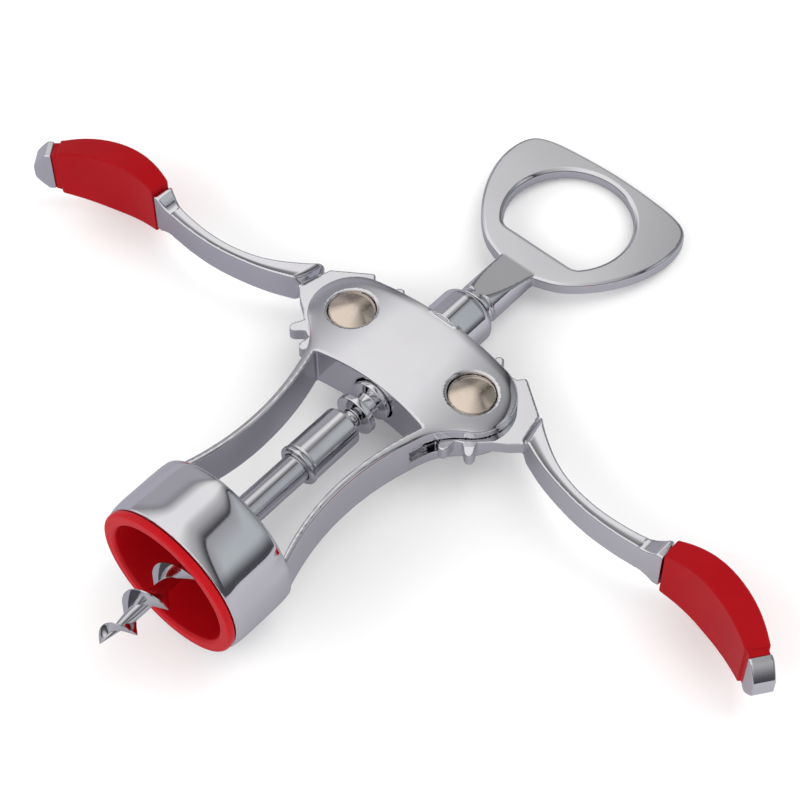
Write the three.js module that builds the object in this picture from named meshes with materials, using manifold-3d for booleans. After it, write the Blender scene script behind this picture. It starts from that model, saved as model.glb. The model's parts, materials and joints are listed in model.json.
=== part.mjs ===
// A lever corkscrew, lying flat with both wings half raised.
// +Y runs along the worm from the bell to the ring handle, +X towards the right wing, +Z up.
// Everything is drawn from the point on the worm's axis between the two wing pivots. The whole
// group is then moved, so that the origin is under the middle of the part, where it rests.
import * as THREE from "three";
import { mergeVertices } from "three/addons/utils/BufferGeometryUtils.js";
import Module from "manifold-3d";

// Driving dimensions, in millimetres.
const gap = 0.3; // between two pieces that touch

// Frame casting.
const frameHalf = 6; // half the depth of plates and legs
const pivotX = 17.4;
const headRadius = 9.9; // round end of the plates, about each pivot
const crownY = 11.4; // top edge of the plates, on the axis
const slotHalf = 2.1; // half the height of the gear slot
const slotClearance = 0.45; // outside the teeth's tips
const slotTailY = -18.4;
const archY = -12.2; // highest point of the window
const archRadius = 67.5;
const windowHalf = 15.1; // half the window's width at its top corners
const windowY = -13.9; // height of those corners
const legY = -36.3; // the legs' narrowest point
const legOuterX = 13.5;
const legOuterRadius = 59.2;
const legInnerX = 11.8;
const legInnerTopRadius = 72;
const legInnerLowRadius = 56;
const legTopY = -18.6; // where the head's flare ends and the leg's arc begins
const bossRadius = 7;
const bossY = 20.3;
const bossEdge = 2.2;
const boreRadius = 5.3;

// Bell and its liner.
const bellRadius = 18.8;
const bellTopY = -57.6;
const bellRimY = -73.6;
const bellWall = 1.6;
const bellRoof = 2.4;
const bellHoleRadius = 5.4;
const linerRimY = -76;
const linerBore = 15.2;
const linerFloor = 1.3;

// Pivots.
const rivetRadius = 2.8;
const rivetEndRadius = 2; // of the back end, which takes the collar
const rivetHeadRadius = 4.85;
const pocketRadius = 5.4;
const pocketFloorZ = 4.3;
const rivetCrownZ = 6;

// Gears and rack. The pitch circle lies well inside the teeth, so that the
// long teeth of the gears reach deep into the rings of a slim rack.
const teeth = 14;
const pitchRadius = 11.33;
const ringFlank = THREE.MathUtils.degToRad(15);
const tipRadius = 14.1;
// A tooth's radii, each with half its width there: a stub with a round end.
const toothShape = [[10.8, 1.6], [11.8, 1.35], [12.9, 1.2], [13.5, 1], [13.9, 0.7], [tipRadius, 0.3]];
const [lowestTooth, highestTooth] = [-3, 5]; // counted from the one that faces the rack
const slotWall = 1; // between the window and the slot along the leg
const gearHalf = 1.7; // half the thickness of the gear plate
const rackRadius = 5;
const rackCore = 2.75;
const rackRings = 7;
const rackTopY = bossY + 0.2;
const ringTipHalf = 0.75; // half a ring's width at its rim
const rodRadius = 2;

// Levers.
const armHalfDepth = 4;
const landHalfDepth = 5.5;
const gripHalfDepth = 7.6;
const shoulderRadius = 14.9; // about the pivot, where the gear plate meets the arm
const gripStart = 73.4;
const gripEnd = 100.8;
const capEnd = 105.6;

// Spindle.
const ferruleTopY = -21.2;
const ferruleLowY = -36.6;
const ferruleRadius = 4.75;
const shankTopY = -29.2;
const shankRadius = 3.4;
const bladeTopY = -50;
const wormTipY = -94;
const wormPitch = 8.6;
const wormCore = 1.5;
const wormRadius = 4.7;

// Ring handle.
const neckRadius = 5;
const neckY = rackTopY + gap;
const neckTopY = 36;
const socketDepth = 9; // bore in the neck that takes the rod
const pinY = neckY + socketDepth / 2;
const pinRadius = 0.9;
const ringHalf = 1.7;
const ringHoleY = 54.6;
const ringHoleRadius = 15;
const lipY = 43.7; // straight edge across the hole
const ringRoot = new THREE.Vector2(neckRadius, 35.6);
const ringSide = new THREE.Vector2(24.3, 60.5);
const ringSideRadius = 30.2;
const ringEndY = 72.6;
const ringEndRadius = 100;
const ringCorner = new THREE.Vector2(17.8, 71);

const originY = (ringEndY + wormTipY) / 2;
const rackPitch = (2 * Math.PI * pitchRadius) / teeth;

const wasm = await Module();
wasm.setup();

// A closed geometry as a solid with its faces pointing out.
function solid(geometry) {
  const bare = geometry.clone();
  bare.deleteAttribute("normal");
  bare.deleteAttribute("uv");
  const merged = mergeVertices(bare, 1e-4);
  const points = merged.attributes.position;
  const corners = [];
  const [a, b, c] = [new THREE.Vector3(), new THREE.Vector3(), new THREE.Vector3()];
  let volume = 0;
  for (let i = 0; i < merged.index.count; i += 3) {
    const [p, q, r] = [0, 1, 2].map((k) => merged.index.getX(i + k));
    if (p === q || q === r || r === p) continue;
    corners.push([p, q, r]);
    a.fromBufferAttribute(points, p);
    b.fromBufferAttribute(points, q);
    c.fromBufferAttribute(points, r);
    volume += a.dot(b.cross(c));
  }
  if (volume < 0) corners.forEach((t) => t.reverse());
  return new wasm.Manifold(
    new wasm.Mesh({
      numProp: 3,
      vertProperties: points.array,
      triVerts: new Uint32Array(corners.flat()),
    }),
  );
}

function geometryOf(shape) {
  const mesh = shape.getMesh();
  const geometry = new THREE.BufferGeometry();
  geometry.setAttribute("position", new THREE.BufferAttribute(mesh.vertProperties, 3));
  geometry.setIndex(new THREE.BufferAttribute(mesh.triVerts, 1));
  geometry.computeVertexNormals();
  return geometry;
}

// A turned solid about the Y axis, from [radius, height] pairs.
function turned(profile, segments) {
  const points = profile.map(([r, y]) => new THREE.Vector2(r, y));
  return solid(new THREE.LatheGeometry(points, segments));
}

// The same about an axis along Z, through a point of the XY plane.
function turnedZ(profile, segments, x, y) {
  const points = profile.map(([r, z]) => new THREE.Vector2(r, z));
  const geometry = new THREE.LatheGeometry(points, segments);
  return solid(geometry.rotateX(Math.PI / 2).translate(x, y, 0));
}

function rod(radius, y0, y1, segments = 32) {
  return turned([[0, y0], [radius, y0], [radius, y1], [0, y1]], segments);
}

function rodZ(radius, z0, z1, x, y, segments = 32) {
  return turnedZ([[0, z0], [radius, z0], [radius, z1], [0, z1]], segments, x, y);
}

// A flat shape of the XY plane, made thick between two heights.
function slab(shape, z0, z1, curveSegments = 12) {
  const geometry = new THREE.ExtrudeGeometry(shape, {
    depth: z1 - z0,
    bevelEnabled: false,
    curveSegments,
  });
  return solid(geometry.translate(0, 0, z0));
}

// A closed skin over a row of sections, each with the same number of points.
function loft(sections) {
  const size = sections[0].length;
  const positions = sections.flat().flatMap((p) => [p.x, p.y, p.z]);
  const index = [];
  for (let i = 0; i + 1 < sections.length; i++)
    for (let j = 0; j < size; j++) {
      const k = (j + 1) % size;
      const [p, q, r, s] = [i * size + j, i * size + k, (i + 1) * size + k, (i + 1) * size + j];
      index.push(p, q, r, p, r, s);
    }
  const last = (sections.length - 1) * size;
  for (let j = 1; j + 1 < size; j++) {
    index.push(0, j + 1, j);
    index.push(last, last + j, last + j + 1);
  }
  const geometry = new THREE.BufferGeometry();
  geometry.setAttribute("position", new THREE.Float32BufferAttribute(positions, 3));
  geometry.setIndex(index);
  return solid(geometry);
}

// An arc as [x, y] pairs, with angles in degrees.
function arc(cx, cy, radius, from, to, steps) {
  return Array.from({ length: steps + 1 }, (_, i) => {
    const angle = THREE.MathUtils.degToRad(from + ((to - from) * i) / steps);
    return [cx + radius * Math.cos(angle), cy + radius * Math.sin(angle)];
  });
}

function shapeOf(points) {
  return new THREE.Shape(points.map(([x, y]) => new THREE.Vector2(x, y)));
}

// Right half of a symmetric outline, from the axis round to the axis, with its mirror image.
function mirrored(half) {
  return [...half, ...half.filter(([x]) => x > 1e-6).map(([x, y]) => [-x, y]).reverse()];
}

const degrees = THREE.MathUtils.radToDeg;

// Plates, legs and window, seen from above.
function frameOutline() {
  const crownRadius =
    (pivotX ** 2 + crownY ** 2 - headRadius ** 2) / (2 * (crownY - headRadius));
  const join = degrees(Math.atan2(crownRadius - crownY, pivotX));
  const legAngle = degrees(Math.asin((legTopY - legY) / legOuterRadius));
  const endAngle = degrees(Math.asin((legY - bellTopY + 1) / legOuterRadius));
  const headEnd = arc(pivotX, 0, headRadius, join, -50, 18);
  const legStart = [
    legOuterX + legOuterRadius * (1 - Math.cos(THREE.MathUtils.degToRad(legAngle))),
    legTopY,
  ];
  const flare = new THREE.QuadraticBezierCurve(
    new THREE.Vector2(...headEnd.at(-1)),
    new THREE.Vector2(18, -12.4),
    new THREE.Vector2(...legStart),
  );
  return mirrored([
    ...arc(0, crownY - crownRadius, crownRadius, 90, join, 5).slice(0, -1),
    ...headEnd,
    ...flare.getPoints(5).slice(1, -1).map((p) => [p.x, p.y]),
    ...arc(
      legOuterX + legOuterRadius,
      legY,
      legOuterRadius,
      180 - legAngle,
      180 + endAngle,
      12,
    ),
  ]);
}

function windowOutline() {
  const topAngle = degrees(Math.asin((windowY - legY) / legInnerTopRadius));
  const lowAngle = degrees(Math.asin((legY - bellTopY) / legInnerLowRadius));
  const archAngle = degrees(Math.asin(windowHalf / archRadius));
  return mirrored([
    ...arc(0, archY - archRadius, archRadius, 90, 90 - archAngle, 6),
    ...arc(legInnerX + legInnerTopRadius, legY, legInnerTopRadius, 180 - topAngle, 180, 6).slice(1),
    ...arc(legInnerX + legInnerLowRadius, legY, legInnerLowRadius, 180, 180 + lowAngle, 6).slice(1),
  ]);
}

// Outline of the gear slot's tail, which runs down the outer side of the right leg.
function slotTail() {
  const outside = windowHalf + 8;
  return [
    [windowHalf, slotTailY],
    [outside, slotTailY],
    [outside, windowY + 4],
    [windowHalf + slotWall, windowY + 4],
    [windowHalf + slotWall, windowY],
  ];
}

function bodyFrame() {
  const legs = slab(shapeOf(frameOutline()), -frameHalf, frameHalf).subtract(
    slab(shapeOf(windowOutline()), -frameHalf - 1, frameHalf + 1),
  );
  const edge = 0.7;
  const inside = bellRadius - bellWall;
  const bell = turned(
    [
      [0, bellTopY],
      [bellRadius - edge, bellTopY],
      [bellRadius, bellTopY - edge],
      [bellRadius, bellRimY],
      [inside, bellRimY],
      [inside, bellTopY - bellRoof],
      [0, bellTopY - bellRoof],
    ],
    48,
  );
  const boss = turned(
    [
      [0, crownY - 1],
      [bossRadius, crownY - 1],
      ...arc(bossRadius - bossEdge, bossY - bossEdge, bossEdge, 0, 90, 4),
      [0, bossY],
    ],
    40,
  );
  let body = legs.add(bell).add(boss);
  body = body.subtract(rod(boreRadius, windowY - 2, bossY + 1, 40));
  body = body.subtract(rod(bellHoleRadius, bellTopY - bellRoof - 1, bellTopY + 2, 40));
  for (const side of [-1, 1]) {
    const x = side * pivotX;
    const tail = shapeOf(slotTail().map(([u, v]) => [side * u, v]));
    body = body.subtract(rodZ(tipRadius + slotClearance, -slotHalf, slotHalf, x, 0, 48));
    body = body.subtract(slab(tail, -slotHalf, slotHalf));
    body = body.subtract(rodZ(rivetRadius + gap, -frameHalf - 1, frameHalf + 1, x, 0));
    body = body.subtract(rodZ(pocketRadius, pocketFloorZ, frameHalf + 1, x, 0));
    body = body.subtract(rodZ(pocketRadius, -frameHalf - 1, -pocketFloorZ, x, 0));
  }
  return body;
}

function bellLiner() {
  const outside = bellRadius - bellWall - gap;
  const topY = bellTopY - bellRoof - gap;
  const lipTop = bellRimY - gap;
  const lipRadius = bellRadius - 0.2;
  const round = 0.9;
  return turned(
    [
      [bellHoleRadius + 0.6, topY],
      [outside, topY],
      [outside, lipTop],
      [lipRadius, lipTop],
      ...arc(lipRadius - round, linerRimY + round, round, 0, -90, 2),
      ...arc(linerBore + round, linerRimY + round, round, -90, -180, 2),
      [linerBore, topY - linerFloor],
      [bellHoleRadius + 0.6, topY - linerFloor],
      [bellHoleRadius + 0.6, topY],
    ],
    48,
  );
}

// Domed head and shaft. Its back end is turned down to take the peened collar.
function pivotRivet(x) {
  const headZ = pocketFloorZ + gap;
  const rimZ = headZ + 0.5;
  const crown = [1, 0.75, 0.5, 0.25, 0].map((t) => [
    rivetHeadRadius * t,
    rimZ + (rivetCrownZ - rimZ) * (1 - t ** 2.2),
  ]);
  return turnedZ(
    [
      [0, -headZ - 0.6],
      [rivetEndRadius, -headZ - 0.6],
      [rivetEndRadius, -pocketFloorZ + 0.4],
      [rivetRadius, -pocketFloorZ + 0.4],
      [rivetRadius, headZ],
      [rivetHeadRadius, headZ],
      ...crown,
    ],
    24,
    x,
    0,
  );
}

function rivetCollar(x) {
  const face = pocketFloorZ + gap;
  const hole = rivetEndRadius + gap;
  return turnedZ(
    [
      [hole, face],
      [rivetHeadRadius, face],
      [rivetHeadRadius, face + 0.6],
      [rivetHeadRadius * 0.8, face + 1.1],
      [hole, face + 1.3],
      [hole, face],
    ].map(([r, z]) => [r, -z]),
    24,
    x,
    0,
  );
}

// The gear plate's outline about the pivot at the origin: nine teeth face the rack,
// and the rest is the web that carries the arm.
function gearOutline() {
  const points = [];
  const place = (r, angle) => points.push([r * Math.cos(angle), r * Math.sin(angle)]);
  for (let tooth = lowestTooth; tooth <= highestTooth; tooth++) {
    const middle = Math.PI + (tooth * 2 * Math.PI) / teeth;
    toothShape.forEach(([r, half]) => place(r, middle - half / r));
    toothShape.toReversed().forEach(([r, half]) => place(r, middle + half / r));
  }
  const web = [
    [8, -7.2],
    [10.3, -5],
    [13.2, -3],
    [shoulderRadius, -0.8],
    [shoulderRadius - 1.9, 6.7],
    [10.1, 9.2],
    [5.1, 12.7],
    [4.5, 12.9],
    [3.3, 11.3],
  ];
  return [...points, ...web];
}

// Middle line of the arm and of the grip, seen from above.
const armLine = new THREE.SplineCurve(
  [
    [31, 2.6],
    [35, 0.5],
    [40, -2],
    [46, -4.1],
    [52, -5.3],
    [58, -5.7],
    [64, -5.4],
    [69, -4.7],
    [gripStart, -3.6],
  ].map(([x, y]) => new THREE.Vector2(x, y)),
);
const gripLine = new THREE.SplineCurve(
  [
    [gripStart, -3.6],
    [77, -2.9],
    [82, -2.9],
    [87, -4.2],
    [92, -6.2],
    [97, -8.8],
    [gripEnd, -11.3],
    [capEnd, -14.6],
  ].map(([x, y]) => new THREE.Vector2(x, y)),
);

// A rectangle with cut corners, across a line of the XY plane.
function section(point, direction, halfWidth, halfDepth, cut) {
  const across = new THREE.Vector2(-direction.y, direction.x);
  const [w, d] = [halfWidth, halfDepth];
  const ring = [
    [w, d - cut],
    [w - cut, d],
    [cut - w, d],
    [-w, d - cut],
    [-w, cut - d],
    [cut - w, -d],
    [w - cut, -d],
    [w, cut - d],
  ];
  return ring.map(
    ([u, z]) => new THREE.Vector3(point.x + across.x * u, point.y + across.y * u, z),
  );
}

// A bar along a line, from [fraction, half width, half depth] stations joined smoothly.
function bar(line, stations, steps, cut) {
  const widths = new THREE.SplineCurve(stations.map(([t, w]) => new THREE.Vector2(t, w)));
  const depths = new THREE.SplineCurve(stations.map(([t, , d]) => new THREE.Vector2(t, d)));
  const value = (curve, t) => {
    let [low, high] = [0, 1];
    for (let i = 0; i < 24; i++) {
      const middle = (low + high) / 2;
      if (curve.getPoint(middle).x < t) low = middle;
      else high = middle;
    }
    return curve.getPoint(low).y;
  };
  const [first, last] = [stations[0][0], stations.at(-1)[0]];
  const sections = [];
  for (let i = 0; i <= steps; i++) {
    const t = first + ((last - first) * i) / steps;
    const tangent = line.getTangentAt(t);
    sections.push(section(line.getPointAt(t), tangent, value(widths, t), value(depths, t), cut));
  }
  return loft(sections);
}

function tang(clearance) {
  const half = 1.5 + clearance;
  const depth = 3 + clearance;
  return bar(gripLine, [[0, half, depth], [0.92 + clearance / 40, half, depth]], 16, 0.4);
}

// Gear sector, arm and tang in one casting, for the right wing.
function lever() {
  const gear = slab(shapeOf(gearOutline()), -gearHalf, gearHalf)
    .subtract(rodZ(rivetRadius + gap, -gearHalf - 1, gearHalf + 1, 0, 0))
    .translate([pivotX, 0, 0]);
  const arm = bar(
    armLine,
    [
      [0, 3.3, gearHalf],
      [0.03, 3.1, 3.2],
      [0.06, 2.8, 3.9],
      [0.12, 2.4, armHalfDepth],
      [0.2, 1.9, armHalfDepth],
      [0.4, 1.35, armHalfDepth],
      [0.6, 1.4, armHalfDepth],
      [0.78, 1.5, armHalfDepth],
      [0.88, 1.8, 4.2],
      [0.95, 2.4, 5.2],
      [1, 2.6, landHalfDepth],
    ],
    30,
    0.5,
  );
  return gear.add(arm).add(tang(0));
}

function grip() {
  const start = gap / gripLine.getLength();
  const end = 0.835;
  const outer = bar(
    gripLine,
    [
      [start, 2.6, landHalfDepth],
      [0.12, 2.75, 6.1],
      [0.3, 2.85, 7.1],
      [0.48, 3.05, gripHalfDepth],
      [0.66, 3.05, 7.2],
      [0.78, 2.8, 6.1],
      [end, 2.6, landHalfDepth],
    ],
    22,
    0.8,
  );
  return outer.subtract(tang(gap));
}

function endCap() {
  const nose = bar(
    gripLine,
    [
      [0.845, 2.5, landHalfDepth],
      [0.9, 2.6, landHalfDepth],
      [0.95, 2.5, 4.8],
      [1, 1.9, 3],
    ],
    8,
    0.6,
  );
  return nose.subtract(tang(gap));
}

// Round rack: rings on a core, and a plain collar on top.
function rack() {
  const rootHalf = ringTipHalf + (rackRadius - rackCore) * Math.tan(ringFlank);
  const lowest = -rackPitch * 3.5;
  const profile = [
    [rodRadius + gap, lowest - rootHalf],
    [rackCore, lowest - rootHalf],
  ];
  for (let i = 0; i < rackRings; i++) {
    const y = lowest + i * rackPitch;
    profile.push([rackCore, y - rootHalf], [rackRadius, y - ringTipHalf]);
    profile.push([rackRadius, y + ringTipHalf], [rackCore, y + rootHalf]);
  }
  const collarY = lowest + rackRings * rackPitch;
  profile.push([rackCore, collarY - rootHalf], [rackRadius, collarY - ringTipHalf]);
  profile.push([rackRadius, rackTopY], [rodRadius + gap, rackTopY], profile[0]);
  return turned(profile, 28);
}

function spindleRod() {
  return rod(rodRadius, shankTopY + gap, neckY + socketDepth, 24).subtract(crossPin(gap));
}

function ferrule() {
  const edge = 0.8;
  return turned(
    [
      [shankRadius + gap, ferruleLowY],
      [ferruleRadius - 0.3, ferruleLowY],
      [ferruleRadius + 0.2, ferruleLowY + 0.4],
      [ferruleRadius + 0.2, ferruleLowY + 1],
      [ferruleRadius - 0.2, ferruleLowY + 1.4],
      [ferruleRadius, ferruleLowY + 2],
      ...arc(ferruleRadius - 0.1 - edge, ferruleTopY - edge, edge, 0, 90, 3),
      [rodRadius + gap, ferruleTopY],
      [rodRadius + gap, shankTopY],
      [shankRadius + gap, shankTopY],
      [shankRadius + gap, ferruleLowY],
    ],
    28,
  );
}

// Plain shank, then a pointed core with one helical blade that fades out at both ends.
function worm() {
  const shankEnd = bladeTopY - 4;
  const core = turned(
    [
      [0, shankTopY - gap],
      [shankRadius, shankTopY - gap],
      [shankRadius, shankEnd],
      [wormCore, shankEnd - 4],
      [wormCore, wormTipY + 8],
      [0, wormTipY],
    ],
    24,
  );
  const perTurn = 15;
  const bladeEnd = wormTipY + 0.8;
  const steps = Math.round(((bladeTopY - bladeEnd) / wormPitch) * perTurn);
  const sections = [];
  for (let i = 0; i <= steps; i++) {
    const along = i / steps;
    const y = bladeTopY + (bladeEnd - bladeTopY) * along;
    const angle = (i / perTurn) * 2 * Math.PI;
    const fade = Math.min(1, along * 9 + 0.2, (1 - along) * 4.5 + 0.12);
    const outer = wormCore + (wormRadius - wormCore) * fade;
    const inner = 0.5 * Math.min(1, (1 - along) * 6 + 0.1);
    const ring = [
      [inner, 1.1 * fade],
      [outer, 0.35 * fade],
      [outer, -0.35 * fade],
      [inner, -1.1 * fade],
    ];
    sections.push(
      ring.map(([r, h]) => new THREE.Vector3(r * Math.cos(angle), y + h, r * Math.sin(angle))),
    );
  }
  return core.add(loft(sections));
}

function crossPin(clearance) {
  const reach = neckRadius - 0.5 + clearance;
  const radius = pinRadius + clearance;
  const pin = new THREE.CylinderGeometry(radius, radius, 2 * reach, 20);
  return solid(pin.rotateZ(Math.PI / 2).translate(0, pinY, 0));
}

// Outline of the ring's plate: an arc from the neck to each side, a round corner, a bowed end.
function ringOutline() {
  const chord = ringSide.clone().sub(ringRoot);
  const halfTurn = Math.asin(chord.length() / 2 / ringSideRadius);
  const startTangent = chord.angle() - halfTurn;
  const centreX = ringRoot.x - ringSideRadius * Math.sin(startTangent);
  const centreY = ringRoot.y + ringSideRadius * Math.cos(startTangent);
  const start = degrees(startTangent) - 90;
  const turn = 2 * degrees(halfTurn);
  const endAngle = degrees(Math.asin(ringCorner.x / ringEndRadius));
  const corner = new THREE.CubicBezierCurve(
    ringSide,
    new THREE.Vector2(24.9, 65.6),
    new THREE.Vector2(23, 70.1),
    ringCorner,
  );
  return mirrored([
    [0, neckTopY - 2],
    [neckRadius, neckTopY - 2],
    ...arc(centreX, centreY, ringSideRadius, start, start + turn, 12),
    ...corner.getPoints(8).slice(1, -1).map((p) => [p.x, p.y]),
    ...arc(0, ringEndY - ringEndRadius, ringEndRadius, 90 - endAngle, 90, 6),
  ]);
}

// Plate with the cap lifter's hole, on a round neck that two slopes flatten.
function openerHandle() {
  const lipAngle = degrees(Math.asin((ringHoleY - lipY) / ringHoleRadius));
  const hole = arc(0, ringHoleY, ringHoleRadius, -lipAngle + 3, 180 + lipAngle - 3, 40);
  const lipHalf = ringHoleRadius * Math.cos(THREE.MathUtils.degToRad(lipAngle)) - 1.2;
  const plate = slab(shapeOf(ringOutline()), -ringHalf, ringHalf).subtract(
    slab(shapeOf([...hole, [-lipHalf, lipY], [lipHalf, lipY]]), -ringHalf - 1, ringHalf + 1),
  );
  const side = shapeOf([
    [neckY, -neckRadius],
    [neckY + 0.6, -neckRadius],
    [neckTopY, -ringHalf],
    [neckTopY + 2, -ringHalf],
    [neckTopY + 2, ringHalf],
    [neckTopY, ringHalf],
    [neckY + 0.6, neckRadius],
    [neckY, neckRadius],
  ]);
  const wedge = new THREE.ExtrudeGeometry(side, { depth: 2 * neckRadius, bevelEnabled: false })
    .translate(0, 0, -neckRadius)
    .applyMatrix4(new THREE.Matrix4().makeBasis(
      new THREE.Vector3(0, 1, 0),
      new THREE.Vector3(0, 0, 1),
      new THREE.Vector3(1, 0, 0),
    ));
  const neck = rod(neckRadius, neckY, neckTopY + 2, 48).intersect(solid(wedge));
  const socket = rod(rodRadius + gap, neckY - 1, neckY + socketDepth + gap, 24);
  return plate.add(neck).subtract(socket).subtract(crossPin(gap));
}

// Materials.
const chrome = { color: 0xc9c9cf, metalness: 1, roughness: 0.08 };
const nickel = { color: 0xb3a592, metalness: 1, roughness: 0.25 };
const steel = { color: 0xb8b9be, metalness: 1, roughness: 0.18 };
const redPlastic = { color: 0xb01820, metalness: 0, roughness: 0.35 };

const corkscrew = new THREE.Group();
corkscrew.position.set(0, -originY, bellRadius);

function add(parent, name, shape, look) {
  const mesh = new THREE.Mesh(geometryOf(shape), new THREE.MeshStandardMaterial(look));
  mesh.name = name;
  parent.add(mesh);
}

add(corkscrew, "body_frame", bodyFrame(), chrome);
add(corkscrew, "bell_liner", bellLiner(), redPlastic);

for (const [side, sign] of [["left", -1], ["right", 1]]) {
  const wing = new THREE.Group();
  wing.scale.x = sign;
  corkscrew.add(wing);
  add(wing, `${side}_pivot_rivet`, pivotRivet(pivotX), nickel);
  add(wing, `${side}_rivet_collar`, rivetCollar(pivotX), nickel);
  add(wing, `${side}_lever`, lever(), chrome);
  add(wing, `${side}_grip`, grip(), redPlastic);
  add(wing, `${side}_end_cap`, endCap(), chrome);
}

const spindle = new THREE.Group();
corkscrew.add(spindle);
add(spindle, "rack", rack(), chrome);
add(spindle, "spindle_rod", spindleRod(), steel);
add(spindle, "ferrule", ferrule(), chrome);
add(spindle, "worm", worm(), steel);
add(spindle, "opener_handle", openerHandle(), chrome);
add(spindle, "handle_pin", crossPin(0), steel);

export default corkscrew;
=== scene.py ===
"""A lever corkscrew on a white table, under soft studio light.

Lengths are millimetres from a local origin, the point of the spindle's axis between the two wing
pivots: +X to the right wing, +Y to the ring handle, +Z out of the front face. Castings are given as
distance functions, negative inside, and skinned with a mesh whose normals come from the function,
so that mirror plate shows clean reflections. Turned pieces are spun from a profile.
"""

import json
import math

import bpy
import numpy as np
from mathutils import Matrix, Vector


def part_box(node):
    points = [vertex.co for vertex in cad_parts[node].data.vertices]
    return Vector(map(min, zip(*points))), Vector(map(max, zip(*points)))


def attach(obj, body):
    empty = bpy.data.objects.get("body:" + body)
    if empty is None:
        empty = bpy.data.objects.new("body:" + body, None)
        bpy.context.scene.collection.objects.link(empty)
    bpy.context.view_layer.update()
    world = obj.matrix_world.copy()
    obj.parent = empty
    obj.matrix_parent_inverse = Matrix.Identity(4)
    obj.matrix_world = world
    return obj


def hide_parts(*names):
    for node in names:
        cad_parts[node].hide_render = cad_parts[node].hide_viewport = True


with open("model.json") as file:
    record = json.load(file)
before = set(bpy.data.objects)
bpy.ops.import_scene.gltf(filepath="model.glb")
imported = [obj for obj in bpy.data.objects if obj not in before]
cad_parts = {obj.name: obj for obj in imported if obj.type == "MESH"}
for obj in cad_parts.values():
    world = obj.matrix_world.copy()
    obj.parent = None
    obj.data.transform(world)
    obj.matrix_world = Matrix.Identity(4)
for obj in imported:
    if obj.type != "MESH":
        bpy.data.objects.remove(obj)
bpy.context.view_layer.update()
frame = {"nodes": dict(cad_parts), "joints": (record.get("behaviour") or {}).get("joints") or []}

MM = 0.001
JOINTS = {joint["name"]: joint for joint in frame["joints"]}
RIGHT_PIVOT = Vector(JOINTS["right_wing_hinge"]["pos_m"])
ORIGIN = Vector((0, RIGHT_PIVOT.y, RIGHT_PIVOT.z))


def extent(node):
    """Lowest and highest corner of a CAD node, in millimetres from the local origin."""
    low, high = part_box(node)
    return (low - ORIGIN) / MM, (high - ORIGIN) / MM


# Driving dimensions, in millimetres. Those that the frame gives are read from it.
PIVOT_X = RIGHT_PIVOT.x / MM
FRAME_LOW, FRAME_HIGH = extent("body_frame")
LINER_LOW, LINER_HIGH = extent("bell_liner")
RACK_HIGH = extent("rack")[1]
FERRULE_LOW, FERRULE_HIGH = extent("ferrule")
WORM_LOW, WORM_HIGH = extent("worm")
HANDLE_LOW, HANDLE_HIGH = extent("opener_handle")
RIVET_HIGH = extent("right_pivot_rivet")[1]

# Frame casting: its head, which is crowned, then the slot for the gears, the window and the legs.
PLATE_HALF = 6.0
FACE_FALL = 1.7
EDGE_FALL = 0.12
EDGE_RUN = 3.0
HEAD_RADIUS = 9.9
HEAD_END = -50
CROWN_Y = 11.4
SLOT_HALF = 2.1
SLOT_RADIUS = 14.4
SLOT_TAIL_Y = (-18.4, -5)
SLOT_WALL = 0.45
TAIL_WALL = 1.0
ARCH_Y = -12.2
ARCH_RADIUS = 67.5
WINDOW_HALF = 15.1
WINDOW_Y = -13.9
LEG_Y = -36.3
LEG_TOP_Y = -18.6
LEG_END = 201.5
LEG_FOOT = (15.5, -68)
LEG_OUTER_X = 13.5
LEG_OUTER_RADIUS = 59.2
LEG_INNER_X = 11.8
LEG_INNER_TOP_RADIUS = 72.0
LEG_INNER_LOW_RADIUS = 56.0

# Guide boss, bell and rivet pockets.
BOSS_RADIUS = 7.0
BOSS_Y = FRAME_HIGH.y
BOSS_EDGE = 2.0
BORE_RADIUS = 5.3
BELL_RADIUS = FRAME_HIGH.z
BELL_TOP_Y = -57.6
BELL_RIM_Y = FRAME_LOW.y
BELL_WALL = 1.6
BELL_ROOF = 2.4
BELL_ROUND = 5.0
BELL_TOP_FALL = 0.26
BELL_RIM_FALL = 0.40
LINER_GAP = 0.3
LINER_HOLE = 6
LINER_FLOOR = 1.3
LINER_BORE = 15.0
LINER_DRAFT = 0.25
POCKET_RADIUS = 5.45
POCKET_FLOOR = 4.1
PIN_HOLE = 3.1
PIN_RADIUS = 2.8
RIVET_Z = POCKET_FLOOR + 0.1
RIVET_HEAD_RADIUS = 4.9
RIVET_END_RADIUS = 2.3

# Levers and grips.
TEETH = 14
PITCH_RADIUS = 1000 * 0.01133
RACK_RINGS = 8
RING_FLANK = math.radians(15)
RING_CORE = 2.75
RING_TIP = 0.75
TOOTH_SHAPE = [(10.8, 1.6), (11.8, 1.35), (12.9, 1.2), (13.4, 1.05), (13.8, 0.78), (14.03, 0.4),
               (14.1, 0.05)]
GEAR_HALF = 1.7
ARM_HALF = 4.0
ARM_CROWN = 0.16
LAND_HALF = 5.5
GRIP_HALF = 8.5
SHOULDER_LOW = (32.3, -0.8)
SHOULDER_HIGH = (30.6, 6.8)
SHOULDER_SLOPE = 0.55
LAND_X = 71.9
HOLLOW_RUN = 4.2
GRIP_START = 73.4
GRIP_END = 100.8
COLLAR_SIDE = 0.45
COLLAR_FACE = 0.55
COLLAR_RUN = 1.5
CAP_START = GRIP_END + 0.95
CAP_RUN = 4.6
CAP_LAND = 1.5
NOSE_SLOPE = 0.9
NOSE_BEND = 0.10

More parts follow.
